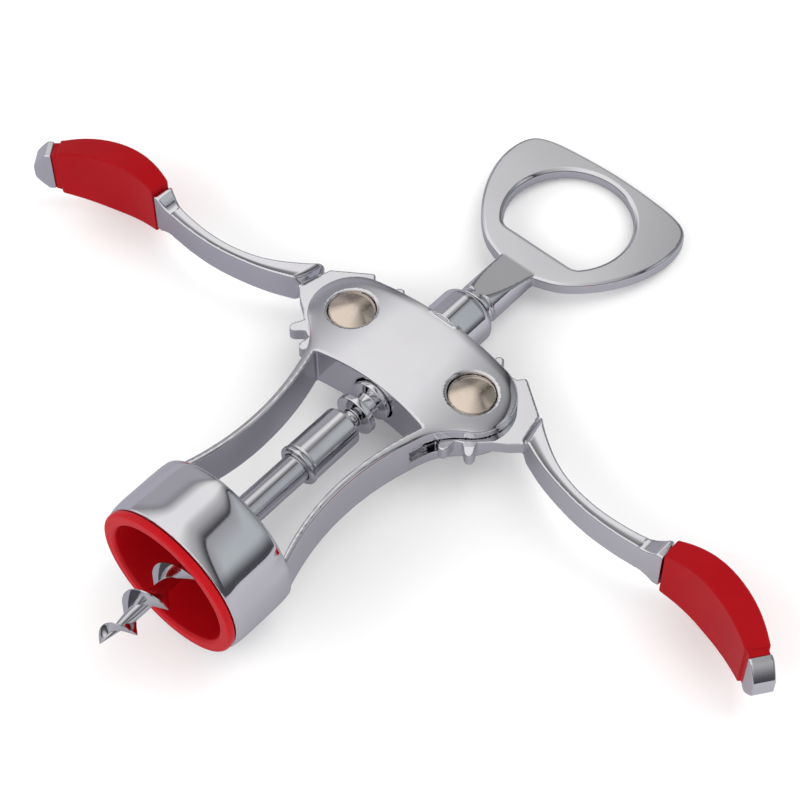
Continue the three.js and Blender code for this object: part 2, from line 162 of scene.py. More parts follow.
# Spindle and ring handle.
RING_HALF = 1.7
RING_FOOT = 1.5
RING_HOLE_Y = 54.6
RING_HOLE_RADIUS = 15.0
LIP_Y = 43.7
NECK_RADIUS = 5.0
NECK_Y = HANDLE_LOW.y
NECK_TOP_Y = 36.0
NECK_FACE_Z = 4.35
NECK_LEVEL = 2.5
GROOVE_RISE = 1.5
GROOVE_RADIUS = 0.5
RING_END_Y = HANDLE_HIGH.y
ROD_RADIUS = 2.0
ROD_PLAY = 0.25
FERRULE_RADIUS = 4.75
SHANK_RADIUS = 3.4
SHANK_END_Y = -54.0
WORM_CORE = 1.5
BLADE_TOP_Y = -50.0
BLADE_PITCH = 8.6
BLADE_PHASE = 0.63
BLADE_REACH = 0.93 * WORM_HIGH.x
BLADE_STEPS = 64

# Mesh sizes of the castings, and the step of their outlines.
FRAME_CELL = 0.42
PART_CELL = 0.33
CAP_CELL = 0.25
GEAR_STEP = 0.1


# ---------------------------------------------------------------- curves and outlines

def arc(cx, cy, radius, start, end, step=0.3):
    """Points of an arc, with its angles in degrees."""
    turn = math.radians(end - start)
    count = max(2, round(abs(turn) * radius / step))
    angles = math.radians(start) + turn * np.arange(count + 1) / count
    return np.stack([cx + radius * np.cos(angles), cy + radius * np.sin(angles)], 1)


def cubic(knots, values):
    """Natural cubic through values at knots, as a function that holds its end values outside."""
    knots, values = np.array(knots, float), np.array(values, float)
    size, gaps = len(knots), np.diff(knots)
    matrix, target = np.eye(size), np.zeros_like(values)
    for i in range(1, size - 1):
        matrix[i, i - 1 : i + 2] = gaps[i - 1], 2 * (gaps[i - 1] + gaps[i]), gaps[i]
        slopes = np.diff(values[i - 1 : i + 2], axis=0).T / gaps[i - 1 : i + 1]
        target[i] = 6 * (slopes.T[1] - slopes.T[0])
    bends = np.linalg.solve(matrix, target)

    def at(position):
        t = np.clip(position, knots[0], knots[-1])
        i = np.clip(np.searchsorted(knots, t) - 1, 0, size - 2)
        after, before, gap = knots[i + 1] - t, t - knots[i], gaps[i]
        if values.ndim > 1:
            after, before, gap = after[..., None], before[..., None], gap[..., None]
        return (
            (bends[i] * after**3 + bends[i + 1] * before**3) / (6 * gap)
            + (values[i] / gap - bends[i] * gap / 6) * after
            + (values[i + 1] / gap - bends[i + 1] * gap / 6) * before
        )

    return at


def spline(points, step=0.3):
    """Even points of a smooth curve through the given ones."""
    points = np.array(points, float)
    chords = np.linalg.norm(np.diff(points, axis=0), axis=1)
    knots = np.concatenate([[0], np.cumsum(chords)])
    return cubic(knots, points)(np.linspace(0, knots[-1], max(2, round(knots[-1] / step)) + 1))


def bezier(start, first, second, end, step=0.3):
    """Points of a cubic curve from start to end, pulled towards first and second."""
    t = np.linspace(0, 1, max(2, round(math.dist(start, end) / step)) + 1)[:, None]
    start, first, second, end = (np.array(p, float) for p in (start, first, second, end))
    near = (1 - t) ** 3 * start + 3 * (1 - t) ** 2 * t * first
    return near + 3 * (1 - t) * t**2 * second + t**3 * end


def mirrored(half):
    """A closed outline from its right half, which runs from the axis round to the axis."""
    left = half[half[:, 0] > 1e-6][::-1] * (-1, 1)
    return np.concatenate([half, left])


def outline(points, step=0.15, margin=3.0):
    """Signed distance to a closed outline of the XY plane, kept as a raster and read between its
    nodes, which also smooths the corners between the outline's short steps."""
    starts = np.asarray(points, float)
    ends = np.roll(starts, -1, axis=0)
    low = starts.min(0) - margin
    count = np.ceil((starts.max(0) + margin - low) / step).astype(int) + 2
    xs, ys = low[0] + step * np.arange(count[0]), low[1] + step * np.arange(count[1])
    grid = np.stack(np.meshgrid(xs, ys, indexing="ij"), -1)
    nearest = np.full(grid.shape[:2], np.inf)
    inside = np.zeros(grid.shape[:2], bool)
    for a, b in zip(starts, ends):
        side = b - a
        length = side @ side
        if length == 0:
            continue
        offset = grid - a
        along = np.clip(offset @ side / length, 0, 1)
        nearest = np.minimum(nearest, ((offset - along[..., None] * side) ** 2).sum(-1))
        crosses = (a[1] > ys) != (b[1] > ys)
        if crosses.any():
            at = a[0] + (ys[crosses] - a[1]) * side[0] / side[1]
            inside[:, crosses] ^= xs[:, None] < at
    field = np.where(inside, -1, 1) * np.sqrt(nearest)

    def distance(x, y):
        u = np.clip((x - low[0]) / step, 0, count[0] - 1.001)
        v = np.clip((y - low[1]) / step, 0, count[1] - 1.001)
        u, v = np.broadcast_arrays(u, v)
        i, j = u.astype(int), v.astype(int)
        p, q = u - i, v - j
        near = field[i, j] * (1 - q) + field[i, j + 1] * q
        far = field[i + 1, j] * (1 - q) + field[i + 1, j + 1] * q
        return near * (1 - p) + far * p

    return distance


# ---------------------------------------------------------------- distance functions

def cut(a, b, radius=0.3):
    """What is inside both a and b, with the edge between them rounded."""
    corner = np.hypot(np.maximum(a + radius, 0), np.maximum(b + radius, 0))
    return np.minimum(np.maximum(a, b) + radius, 0) + corner - radius


def join(a, b, radius=0.3):
    """What is inside a or b, with a fillet of that radius between them."""
    return -cut(-a, -b, radius)


def rise(value, start, end):
    """0 before start, 1 after end, and a smooth step between."""
    t = np.clip((value - start) / (end - start), 0, 1)
    return t * t * (3 - 2 * t)


def sloped(height, x, step=0.05):
    """By how much a height measured along Z overstates the distance to its sloping surface."""
    slope = (height(x + step) - height(x - step)) / (2 * step)
    return np.hypot(1, slope)


def gradient(solid, points, reach):
    """How fast the distance grows along each axis, from points that far ahead and behind."""
    slopes = np.empty_like(points)
    for axis in range(3):
        offset = np.zeros(3)
        offset[axis] = reach
        ahead, behind = points + offset, points - offset
        slopes[:, axis] = (solid(*ahead.T) - solid(*behind.T)) / (2 * reach)
    return slopes


def skin(solid, low, high, cell):
    """Points, faces and normals of the surface where solid(x, y, z) is 0, one point per cell that
    the surface passes through."""
    axes = [np.arange(a - 1.5 * cell, b + 2.5 * cell, cell) for a, b in zip(low, high)]
    value = solid(*np.meshgrid(*axes, indexing="ij", sparse=True))
    inside = value < 0

    def corner(array, offset):
        return array[tuple(slice(o, n - 1 + o) for o, n in zip(offset, array.shape))]

    offsets = [np.array([i, j, k]) for i in (0, 1) for j in (0, 1) for k in (0, 1)]
    filled = sum(corner(inside, o).astype(np.int8) for o in offsets)
    active = (filled > 0) & (filled < 8)
    number = np.full(active.shape, -1)
    number[active] = np.arange(active.sum())
    cells = np.argwhere(active)

    total, hits = np.zeros(cells.shape), np.zeros(len(cells))
    for offset in offsets:
        for axis in range(3):
            if offset[axis]:
                continue
            step = np.eye(3, dtype=int)[axis]
            near = value[tuple((cells + offset).T)]
            far = value[tuple((cells + offset + step).T)]
            crossed = (near < 0) != (far < 0)
            share = near[crossed] / (near[crossed] - far[crossed])
            total[crossed] += offset + share[:, None] * step
            hits[crossed] += 1
    start = np.array([a[0] for a in axes])
    points = start + (cells + total / hits[:, None]) * cell

    for _ in range(4):
        slopes = gradient(solid, points, 0.1 * cell)
        share = solid(*points.T) / np.maximum((slopes**2).sum(1), 0.25)
        points -= np.clip(share, -cell / 2, cell / 2)[:, None] * slopes
    normals = gradient(solid, points, 0.25 * cell)
    normals /= np.linalg.norm(normals, axis=1)[:, None]

    faces = []
    for axis in range(3):
        u, v = np.roll(np.eye(3, dtype=int), -axis - 1, axis=0)[:2]
        behind = inside[tuple(slice(0, -1) if a == axis else slice(None) for a in range(3))]
        ahead = inside[tuple(slice(1, None) if a == axis else slice(None) for a in range(3))]
        edges = np.argwhere(behind != ahead)
        ring = [number[tuple((edges - o).T)] for o in (0 * u, u, u + v, v)]
        quads = np.stack(ring, 1)
        leaves = behind[tuple(edges.T)]
        quads[~leaves] = quads[~leaves, ::-1]
        faces.append(quads)
    return points, np.concatenate(faces), normals


# ---------------------------------------------------------------- pieces

def to_row(points):
    """Local millimetres as metres of the row frame."""
    return np.asarray(points) * MM + np.array(ORIGIN)


def place(name, mesh, material, body, slot, *nodes):
    """A piece that rides on a body and stands for the given CAD nodes."""
    piece = bpy.data.objects.new(name, mesh)
    bpy.context.scene.collection.objects.link(piece)
    mesh.materials.append(material)
    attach(piece, body)
    if nodes:
        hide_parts(*nodes)
    return piece


def casting(name, solid, low, high, cell, material, body, slot, *nodes, side=1):
    """A piece from its distance function. Side -1 mirrors it to the left wing."""
    points, faces, normals = skin(solid, low, high, cell)
    if side < 0:
        points, normals, faces = points * (-1, 1, 1), normals * (-1, 1, 1), faces[:, ::-1]
    mesh = bpy.data.meshes.new(name)
    mesh.from_pydata(to_row(points).tolist(), [], faces.tolist())
    mesh.polygons.foreach_set("use_smooth", np.ones(len(faces), bool))
    mesh.normals_split_custom_set_from_vertices(normals.tolist())
    return place(name, mesh, material, body, slot, *nodes)


def rounded_profile(points, radius, steps=4):
    """A profile with its corners rounded, each within 45 % of the shorter side beside it."""
    points = [np.array(p, float) for p in points]
    result = [points[0]]
    nearly_straight = math.radians(85)
    for before, corner, after in zip(points, points[1:], points[2:]):
        back, ahead = before - corner, after - corner
        room = 0.45 * min(np.linalg.norm(back), np.linalg.norm(ahead))
        back, ahead = back / np.linalg.norm(back), ahead / np.linalg.norm(ahead)
        half = math.acos(np.clip(back @ ahead, -1, 1)) / 2
        if half > nearly_straight:
            result.append(corner)
            continue
        reach = min(room, radius / math.tan(half))
        start, end = corner + back * reach, corner + ahead * reach
        for t in np.linspace(0, 1, steps + 1):
            result.append((1 - t) ** 2 * start + 2 * t * (1 - t) * corner + t**2 * end)
    return np.array(result + [points[-1]])


def smooth_faces(piece, sharp=35):
    """Smooth shading, with creases where faces meet at more than that many degrees."""
    mesh = piece.data
    mesh.polygons.foreach_set("use_smooth", np.ones(len(mesh.polygons), bool))
    mesh.set_sharp_from_angle(angle=math.radians(sharp))
    weighted = piece.modifiers.new("even_normals", "WEIGHTED_NORMAL")
    weighted.keep_sharp = True
    return piece


def turned(name, profile, material, body, slot, *nodes, centre=None, segments=128, closed=False):
    """A solid of revolution from [radius, height] pairs that run from low to high outside: about
    the spindle's axis, or about an axis along Z through centre."""
    profile = np.asarray(profile, float)
    angles = 2 * math.pi * np.arange(segments) / segments
    points, rows = [], []
    for radius, height in profile:
        if radius < 1e-6:
            rows.append([len(points)] * segments)
            points.append((0, height, 0))
            continue
        rows.append(list(range(len(points), len(points) + segments)))
        points += [(radius * math.sin(a), height, radius * math.cos(a)) for a in angles]
    if closed:
        rows.append(rows[0])
    faces = []
    for low, high in zip(rows, rows[1:]):
        for i in range(segments):
            j = (i + 1) % segments
            corners = [low[i], low[j], high[j], high[i]]
            faces.append([c for k, c in enumerate(corners) if c not in corners[:k]])
    points = np.array(points)
    if centre is not None:
        x, y, z = points.T
        points = np.stack([centre[0] + x, centre[1] - z, y], 1)
    mesh = bpy.data.meshes.new(name)
    mesh.from_pydata(to_row(points).tolist(), [], faces)
    return smooth_faces(place(name, mesh, material, body, slot, *nodes))


# ---------------------------------------------------------------- materials

class Nodes:
    """Short calls for building one material's node tree."""

    def __init__(self, name):
        self.material = bpy.data.materials.new(name)
        self.material.use_nodes = True
        self.tree = self.material.node_tree
        self.shader = self.tree.nodes["Principled BSDF"]

    def add(self, kind, settings=(), **inputs):
        node = self.tree.nodes.new(kind)
        for key, value in dict(settings).items():
            setattr(node, key, value)
        for key, value in inputs.items():
            self.set(node.inputs[key.replace("_", " ")], value)
        return node

    def set(self, socket, value):
        if isinstance(value, bpy.types.NodeSocket):
            self.tree.links.new(value, socket)
        else:
            socket.default_value = value

    def noise(self, scale, detail=3.0, stretch=(1, 1, 1)):
        """Noise over the row frame's metres, with features about 1 / scale metres long."""
        place_at = self.add("ShaderNodeTexCoord").outputs["Object"]
        mapping = self.add("ShaderNodeMapping", Vector=place_at, Scale=stretch)
        vector = mapping.outputs["Vector"]
        return self.add("ShaderNodeTexNoise", Vector=vector, Scale=scale, Detail=detail).outputs[0]

    def remap(self, value, low, high, start=0.0, end=1.0):
        """Value from low to high as start to end, and held beyond them."""
        node = self.add("ShaderNodeMapRange", Value=value)
        limits = {"From Min": low, "From Max": high, "To Min": start, "To Max": end}
        for key, number in limits.items():
            node.inputs[key].default_value = number
        return node.outputs["Result"]

    def math(self, operation, first, second):
        node = self.add("ShaderNodeMath", {"operation": operation})
        self.set(node.inputs[0], first)
        self.set(node.inputs[1], second)
        return node.outputs[0]

    def colour(self, factor, first, second):
        """Mix of two colours, each a tuple or another node's output."""
        node = self.add("ShaderNodeMix", {"data_type": "RGBA"})
        self.set(node.inputs["Factor"], factor)
        for key, value in (("A", first), ("B", second)):
            self.set(node.inputs[key], (*value, 1) if isinstance(value, tuple) else value)
        return node.outputs["Result"]

    def bump(self, height, strength, distance):
        node = self.add("ShaderNodeBump", Height=height, Strength=strength, Distance=distance)
        self.set(self.shader.inputs["Normal"], node.outputs["Normal"])


def plated_metal(name, bright, dull, roughness, scratch=(1, 1, 1), grain=0.02):
    """Polished plate: faint clouds in its colour and gloss, and fine polishing marks."""
    m = Nodes(name)
    clouds = m.noise(scale=60, detail=4)
    tarnish = m.remap(clouds, low=0.35, high=0.7)
    m.set(m.shader.inputs["Base Color"], m.colour(tarnish, bright, dull))
    m.shader.inputs["Metallic"].default_value = 1.0
    marks = m.noise(scale=1500, detail=2, stretch=scratch)
    smears = m.math("MULTIPLY", m.remap(clouds, low=0.45, high=0.7), 0.5 * roughness)
    hairs = m.math("MULTIPLY", m.remap(marks, low=0.55, high=0.75), roughness)
    base = m.math("ADD", smears, roughness)
    m.set(m.shader.inputs["Roughness"], m.math("ADD", base, hairs))
    m.bump(marks, strength=grain, distance=0.00002)
    return m.material


def red_plastic(name, light, dark, roughness, gloss, grain):
    """Moulded plastic: slight mottling, fine spark-eroded grain, and scuffs that dull it."""
    m = Nodes(name)
    mottle = m.remap(m.noise(scale=90, detail=3), low=0.3, high=0.7)
    m.set(m.shader.inputs["Base Color"], m.colour(mottle, light, dark))
    scuffs = m.noise(scale=260, detail=2)
    dulled = m.remap(scuffs, low=0.3, high=0.75, start=roughness, end=roughness + 0.05)
    m.set(m.shader.inputs["Roughness"], dulled)
    m.shader.inputs["Specular IOR Level"].default_value = gloss
    m.bump(m.noise(scale=3600, detail=2), strength=grain, distance=0.00001)
    return m.material


CHROME = plated_metal(
    "mirror_chrome", bright=(0.80, 0.80, 0.82), dull=(0.76, 0.76, 0.79), roughness=0.05,
)
SATIN_CHROME = plated_metal(
    "satin_chrome", bright=(0.78, 0.78, 0.80), dull=(0.72, 0.72, 0.74), roughness=0.11,
    scratch=(1, 0.05, 1), grain=0.05,
)
STEEL = plated_metal(
    "bright_steel", bright=(0.72, 0.72, 0.74), dull=(0.64, 0.64, 0.66), roughness=0.07,
    scratch=(1, 0.2, 1), grain=0.05,
)
NICKEL = plated_metal(
    "nickel", bright=(0.80, 0.69, 0.58), dull=(0.76, 0.65, 0.545), roughness=0.17, grain=0.005,
)
RED_GRIP = red_plastic(
    "red_grip_plastic", light=(0.33, 0.003, 0.0065), dark=(0.30, 0.0025, 0.0055),
    roughness=0.28, gloss=0.09, grain=0.04,
)
RED_LINER = red_plastic(
    "red_liner_plastic", light=(0.43, 0.0035, 0.0075), dark=(0.40, 0.003, 0.0065),
    roughness=0.28, gloss=0.13, grain=0.01,
)


# ---------------------------------------------------------------- frame casting

def frame_outline():
    """Plates and legs, seen from the front."""
    crown_radius = (PIVOT_X**2 + CROWN_Y**2 - HEAD_RADIUS**2) / (2 * (CROWN_Y - HEAD_RADIUS))
    crown_end = math.degrees(math.atan2(crown_radius - CROWN_Y, PIVOT_X))
    head = arc(PIVOT_X, 0, HEAD_RADIUS, crown_end, HEAD_END)
    leg_angle = math.degrees(math.asin((LEG_TOP_Y - LEG_Y) / LEG_OUTER_RADIUS))
    leg_centre = LEG_OUTER_X + LEG_OUTER_RADIUS
    leg = arc(leg_centre, LEG_Y, LEG_OUTER_RADIUS, 180 - leg_angle, LEG_END)
    flare = bezier(head[-1], (18.4, -11.4), (17.2, -14.6), leg[0])
    low = bezier(leg[-1], (18.0, -60.2), (17.6, -64), LEG_FOOT)
    crown = arc(0, CROWN_Y - crown_radius, crown_radius, 90, crown_end)
    half = np.concatenate([crown, head[1:], flare[1:], leg[1:], low[1:], [[0, LEG_FOOT[1]]]])
    return mirrored(half)


def window_outline():
    """The opening between the legs, under an arch, down to the bell's top."""
    top_angle = math.degrees(math.asin((WINDOW_Y - LEG_Y) / LEG_INNER_TOP_RADIUS))
    low_angle = math.degrees(math.asin((LEG_Y - BELL_TOP_Y + 1) / LEG_INNER_LOW_RADIUS))
    arch_angle = math.degrees(math.asin(WINDOW_HALF / ARCH_RADIUS))
    top = LEG_INNER_X + LEG_INNER_TOP_RADIUS
    low = LEG_INNER_X + LEG_INNER_LOW_RADIUS
    half = [
        arc(0, ARCH_Y - ARCH_RADIUS, ARCH_RADIUS, 90, 90 - arch_angle),
        arc(top, LEG_Y, LEG_INNER_TOP_RADIUS, 180 - top_angle, 180)[1:],
        arc(low, LEG_Y, LEG_INNER_LOW_RADIUS, 180, 180 + low_angle)[1:],
        [[0, BELL_TOP_Y - 1]],
    ]
    return mirrored(np.concatenate(half))


def frame_solid():
    """Plates and legs with the bell and the guide boss, less the bores, slot and pockets."""
    plan, window = outline(frame_outline()), outline(window_outline())
    cavity_roof = BELL_TOP_Y - BELL_ROOF

    def bell_radius(y):
        top = np.clip((y - BELL_TOP_Y) / BELL_ROUND + 1, 0, 1)
        low = np.clip((BELL_RIM_Y - y) / BELL_ROUND + 1, 0, 1)
        return BELL_RADIUS - BELL_TOP_FALL * top**3 - BELL_RIM_FALL * low**3

    def solid(x, y, z):
        x, front = np.abs(x), np.abs(z)
        round_axis = np.hypot(x, z)
        round_pivot = np.hypot(x - PIVOT_X, y)
        outer, inner = plan(x, y), window(x, y)
        edge = EDGE_FALL * np.clip(1 + outer / EDGE_RUN, 0, 1) ** 3
        fall = FACE_FALL * (x / FRAME_HIGH.x) ** 2 + edge
        plates = cut(cut(outer, -inner, 0.35), front - PLATE_HALF + fall, 0.5)
        bell = cut(round_axis - bell_radius(y), y - BELL_TOP_Y, 0.7)
        bell = cut(bell, BELL_RIM_Y - y, 0.25)
        flow = 0.25 + rise(x, 14.5, 17.5) * (1 - rise(front, 3, 7))
        body = join(plates, bell, flow)
        boss = cut(round_axis - BOSS_RADIUS, y - BOSS_Y, BOSS_EDGE)
        boss = cut(boss, CROWN_Y - 1 - y, 0.1)
        body = join(body, boss, 0.25)
        cavity = cut(round_axis - BELL_RADIUS + BELL_WALL, y - cavity_roof, 0.5)
        body = cut(body, -cavity, 0.25)
        body = cut(body, BORE_RADIUS - round_axis, 0.3)
        tail = np.maximum(SLOT_TAIL_Y[0] - y, y - SLOT_TAIL_Y[1])
        tail = np.maximum(tail, TAIL_WALL - inner)
        disc = np.maximum(round_pivot - SLOT_RADIUS, SLOT_WALL - inner)
        slot = cut(np.minimum(disc, tail), front - SLOT_HALF, 0.2)
        body = cut(body, -slot, 0.2)
        pocket = cut(round_pivot - POCKET_RADIUS, POCKET_FLOOR - front, 0.5)
        body = cut(body, -pocket, 0.5)
        return cut(body, PIN_HOLE - round_pivot, 0.1)

    return solid


# ---------------------------------------------------------------- levers

def gear_outline():
    """Nine teeth that face the rack, and the web that carries the arm."""
    points = []
    for tooth in range(-3, 6):
        middle = math.pi + tooth * 2 * math.pi / TEETH
        flank = [(r, -half / r) for r, half in TOOTH_SHAPE]
        for r, turn in flank + [(r, -turn) for r, turn in flank[::-1]]:
            points.append((PIVOT_X + r * math.cos(middle + turn), r * math.sin(middle + turn)))
    web = [(8, -7.2), (10.3, -5), (13.2, -3), (15.3, -1.1), (13.2, 7.0), (10.1, 9.2), (5.4, 12.5),
           (4.9, 12.75), (4.5, 12.7), (3.3, 11.3)]
    return points + [(PIVOT_X + x, y) for x, y in web]


# The arm's middle line seen from the front, and its half width along x.
ARM_LINE = spline([
    (30.2, 2.9), (32.5, 1.9), (36, 0.05), (40, -2), (46, -4.1), (52, -5.3), (58, -5.7),
    (64, -5.4), (69, -4.7), (GRIP_START, -3.6),
])
ARM_WIDTH = cubic(
    [30, 32.5, 36, 40, 46, 52, 58, 64, 68, 71, 73.4],
    [3.9, 2.85, 2.2, 1.8, 1.4, 1.33, 1.38, 1.5, 1.7, 2.2, 2.6],
)


def swept_outline(line, half_width):
    """Outline of a strip along a line, whose half width is a function of x."""
    along = np.gradient(line, axis=0)
    across = np.stack([-along[:, 1], along[:, 0]], 1) / np.linalg.norm(along, axis=1)[:, None]
    reach = half_width(line[:, 0])[:, None] * across
    return np.concatenate([line - reach, (line + reach)[::-1]])


def arm_height(x):
    """Half depth of the arm: level, then a hollow that climbs to a flat land."""
    run = np.clip(x - LAND_X + HOLLOW_RUN, 0, HOLLOW_RUN)
    climb = LAND_HALF - ARM_HALF
    radius = (HOLLOW_RUN**2 + climb**2) / (2 * climb)
    return ARM_HALF + radius - np.sqrt(radius**2 - run**2)


def lever_solid():
    """A thin gear with a thicker arm, whose stepped shoulder slopes down to the gear's face."""
    gear_plan = outline(gear_outline(), GEAR_STEP)
    arm_plan = outline(swept_outline(ARM_LINE, ARM_WIDTH))
    edge = np.subtract(SHOULDER_HIGH, SHOULDER_LOW)
    inward = np.array([-edge[1], edge[0]]) / np.linalg.norm(edge)

    def solid(x, y, z):
        depth = np.abs(z)
        gear = cut(gear_plan(x, y), depth - GEAR_HALF, 0.25)
        gear = cut(gear, PIN_HOLE - np.hypot(x - PIVOT_X, y), 0.1)
        side = arm_plan(x, y)
        crown = ARM_CROWN * np.clip(1 + side / ARM_WIDTH(x), 0, 1) ** 2
        crown = crown * (x < LAND_X - HOLLOW_RUN)
        height = (depth - arm_height(x) + ARM_CROWN - crown) / sloped(arm_height, x)
        arm = cut(side, height, 0.45)
        arm = cut(arm, x - GRIP_START, 0.1)
        shoulder = (x - SHOULDER_LOW[0]) * inward[0] + (y - SHOULDER_LOW[1]) * inward[1]
        shoulder = shoulder + SHOULDER_SLOPE * (depth - GEAR_HALF)
        arm = cut(arm, shoulder / math.hypot(1, SHOULDER_SLOPE), 0.6)
        return join(gear, arm, 0.45)

    return solid


# ---------------------------------------------------------------- grips and caps

# The grip's middle line seen from the front, its half width and half depth, and the cap's.
GRIP_LINE = spline([
    (GRIP_START, -3.8), (77, -3.2), (82, -3.1), (87, -4.0), (92, -5.65), (97, -8.2),
    (GRIP_END, -10.8), (106.2, -14.8),
])
GRIP_WIDTH = cubic([73.4, 78, 84, 90, 96, 101], [2.45, 2.85, 3.2, 3.3, 3.1, 2.7])
GRIP_HEIGHT = cubic([73.4, 77, 82, 88, 94, 98, 101.5], [6.8, 7.6, 8.3, 8.4, 7.7, 6.9, 5.9])
CAP_WIDTH = cubic([99, 102, 106], [2.45, 2.5, 2.35])


def along_grip(points, at):
    """Signed distance past the station of the grip's line at a given x."""
    i = np.argmin(np.abs(GRIP_LINE[:, 0] - at))
    ahead = GRIP_LINE[i + 1] - GRIP_LINE[i - 1]
    ahead /= np.linalg.norm(ahead)
    return (points[0] - GRIP_LINE[i, 0]) * ahead[0] + (points[1] - GRIP_LINE[i, 1]) * ahead[1]


def grip_solid():
    """A barrel that swells and bends, with a smaller collar at its end where the cap sits."""
    plan = outline(swept_outline(GRIP_LINE, GRIP_WIDTH))

    def solid(x, y, z):
        depth = np.abs(z)
        side = plan(x, y)
        end = along_grip((x, y), GRIP_END - 0.3)
        barrel = cut(side, (depth - GRIP_HEIGHT(x)) / sloped(GRIP_HEIGHT, x), 0.5)
        barrel = cut(barrel, end, 0.4)
        collar = cut(side + COLLAR_SIDE, depth - GRIP_HEIGHT(x) + COLLAR_FACE, 0.3)
        collar = cut(collar, end - COLLAR_RUN, 0.1)
        body = join(barrel, collar, 0.15)
        return cut(body, GRIP_START + 0.15 - x, 0.3)

    return solid


def cap_solid():
    """A nose with a short level land, then faces that fall in a curve to its blunt tip."""
    plan = outline(swept_outline(GRIP_LINE, CAP_WIDTH))
    slope_length = 1.4

    def solid(x, y, z):
        depth = np.abs(z)
        start = along_grip((x, y), CAP_START)
        land = depth - LAND_HALF
        past = start - CAP_LAND
        bend = NOSE_BEND * np.maximum(past, 0) ** 2
        nose = (depth + NOSE_SLOPE * past + bend - LAND_HALF) / slope_length
        tip = start - CAP_RUN
        body = cut(cut(plan(x, y), np.maximum(land, nose), 0.35), tip, 0.5)
        return cut(body, -start, 0.2)

    return solid


# ---------------------------------------------------------------- ring handle

def ring_outline():
    """The flat ring: a rounded triangle that grows out of the neck."""
    right = [
        (NECK_RADIUS, 35.6), (10, 37.5), (14.8, 41.2), (19.6, 47.2), (22.8, 53.7), (24.3, 60.5),
        (24.1, 64.6), (22.2, 69), (17.8, 71.1), (12.4, 71.9), (6, 72.4), (0, RING_END_Y),
    ]
    foot = NECK_TOP_Y - RING_FOOT
    return mirrored(np.concatenate([[[0, foot], [NECK_RADIUS, foot]], spline(right)]))


def ring_hole():
    """A round hole with a straight lip, and a small round where the lip meets it."""
    half = math.sqrt(RING_HOLE_RADIUS**2 - (RING_HOLE_Y - LIP_Y) ** 2)
    turn = math.degrees(math.asin((RING_HOLE_Y - LIP_Y) / RING_HOLE_RADIUS)) - 4
    bow = arc(0, RING_HOLE_Y, RING_HOLE_RADIUS, -turn, 90)
    pulls = (half - 0.5, LIP_Y), (half + 0.1, LIP_Y + 0.3)
    corner = bezier((half - 1.6, LIP_Y), *pulls, bow[0], step=0.2)
    return mirrored(np.concatenate([[[0, LIP_Y]], corner, bow[1:]]))


def ring_solid():
    """The ring on its round neck, which two slopes flatten, with a groove at the neck's foot."""
    plan, hole = outline(ring_outline()), outline(ring_hole())
    slope = (NECK_FACE_Z - RING_HALF) / (NECK_TOP_Y - NECK_Y - NECK_LEVEL)

    def solid(x, y, z):
        depth = np.abs(z)
        round_axis = np.hypot(x, z)
        plate = cut(plan(x, y), depth - RING_HALF, 0.7)
        plate = cut(plate, cut(-hole(x, y), depth - RING_HALF, 1.0), 0.05)
        face = (depth - RING_HALF - slope * (NECK_TOP_Y - y)) / math.hypot(1, slope)
        neck = cut(round_axis - NECK_RADIUS, face, 0.3)
        neck = cut(neck, y - NECK_TOP_Y - 1, 0.1)
        neck = cut(neck, NECK_Y - y, 0.35)
        groove = np.hypot(round_axis - NECK_RADIUS - 0.1, y - NECK_Y - GROOVE_RISE)
        groove = groove - GROOVE_RADIUS
        neck = cut(neck, -groove, 0.15)
        return join(plate, neck, 0.15)

    return solid


# ---------------------------------------------------------------- turned pieces and worm

def rack_profile():
    """A sleeve with ring teeth of the gears' pitch, the topmost run on into a plain collar."""
    slope = math.tan(RING_FLANK)
    radius = RACK_HIGH.x
    root_half = RING_TIP + (radius - RING_CORE) * slope
    pitch = 2 * math.pi * PITCH_RADIUS / TEETH
    middle = (RACK_RINGS - 1) / 2
    bore = ROD_RADIUS + ROD_PLAY
    foot = -middle * pitch - root_half
    points = [(bore, foot), (RING_CORE, foot)]
    for ring in range(RACK_RINGS):
        y = (ring - middle) * pitch
        points += [(RING_CORE, y - root_half), (radius, y - RING_TIP)]
        points += [(radius, y + RING_TIP), (RING_CORE, y + root_half)]
    points = points[:-2] + [(radius, RACK_HIGH.y), (bore, RACK_HIGH.y)]
    distinct = [p for k, p in enumerate(points) if k == 0 or math.dist(p, points[k - 1]) > 1e-6]
    return rounded_profile(distinct, 0.3)


def liner_profile():
    """A cup with a hole in its floor, and a lip that covers the bell's rim."""
    outside = BELL_RADIUS - BELL_WALL - LINER_GAP
    roof, floor = LINER_HIGH.y, LINER_HIGH.y - LINER_FLOOR
    rim, lip_top = LINER_LOW.y + 0.6, BELL_RIM_Y - 0.06
    lip = BELL_RADIUS - 0.6
    return rounded_profile([
        (LINER_HOLE, floor), (LINER_HOLE, roof), (outside, roof), (outside, lip_top),
        (lip, lip_top), (lip, rim), (LINER_BORE, rim), (LINER_BORE - LINER_DRAFT, floor),
        (LINER_HOLE, floor),
    ][::-1], 1.0, 6)


def ferrule_profile():
    """A smooth sleeve with a bead round its foot."""
    low, high, radius = FERRULE_LOW.y, FERRULE_HIGH.y, FERRULE_RADIUS
    foot, bead, waist = radius - 0.35, radius + 0.2, radius - 0.15
    bore = ROD_RADIUS + 0.05
    return rounded_profile([
        (3.5, low + 3), (3.5, low), (foot, low), (bead, low + 0.5), (bead, low + 1.2),
        (waist, low + 1.5), (radius, low + 2), (radius, high - 0.9), (radius - 0.9, high),
        (bore, high), (bore, high - 4),
    ], 0.35)


